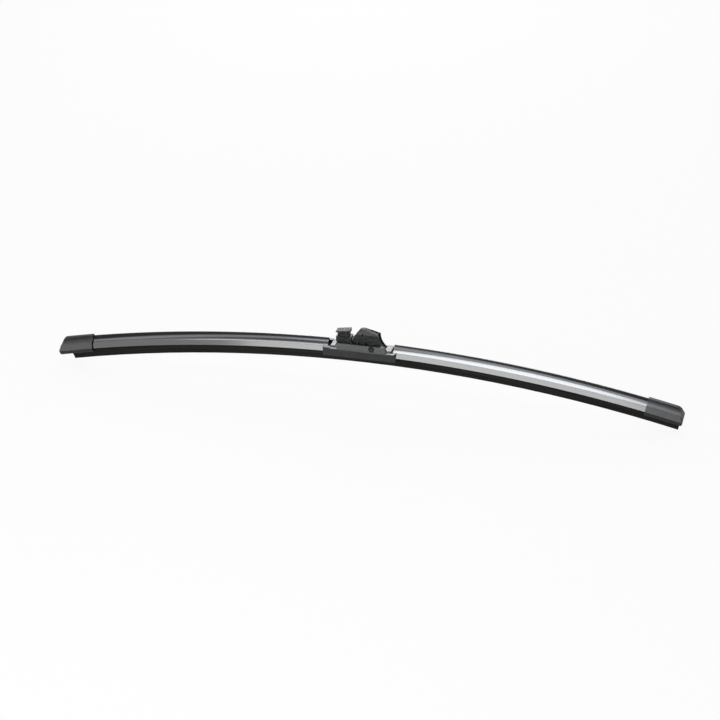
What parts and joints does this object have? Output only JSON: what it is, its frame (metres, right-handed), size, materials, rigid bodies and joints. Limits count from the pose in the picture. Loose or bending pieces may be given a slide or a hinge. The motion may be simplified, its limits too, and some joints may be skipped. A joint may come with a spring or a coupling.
{
  "type": "wiper blade",
  "caption": "Bowed flat windscreen wiper blade: rubber squeegee on spring rails under a dished spoiler, with end caps and a clip-on arm adapter that pivots on the central connector.",
  "frame": {"origin": "on the axis of the pivot pin, in the blade's mid-plane between front and rear edges", "axes": "+X along the blade, from the lock post's side to the tail's side of the adapter, +Y to the rear edge, +Z away from the glass"},
  "size_m": [0.5542, 0.0177, 0.0635],
  "materials": {
    "rubber": "matte natural rubber with a graphite coat",
    "spring_steel": "rolled spring steel",
    "spoiler": "smooth extruded elastomer",
    "cap": "fine moulded texture",
    "connector": "satin moulded plastic",
    "pin": "blackened rivet",
    "adapter": "coarse moulded texture"
  },
  "bodies": {
    "blade": {"wiper_rubber": "rubber", "front_rail": "spring_steel", "rear_rail": "spring_steel", "left_spoiler": "spoiler", "right_spoiler": "spoiler", "left_end_cap": "cap", "right_end_cap": "cap", "connector_base": "connector", "pivot_pin": "pin"},
    "adapter": {"arm_adapter": "adapter"}
  },
  "joints": [
    {"name": "adapter_pivot", "type": "hinge", "parent": "blade", "child": "adapter", "pos_m": [0, 0, 0], "axis": [0, 1, 0], "range_deg": [-8, 8]}
  ]
}
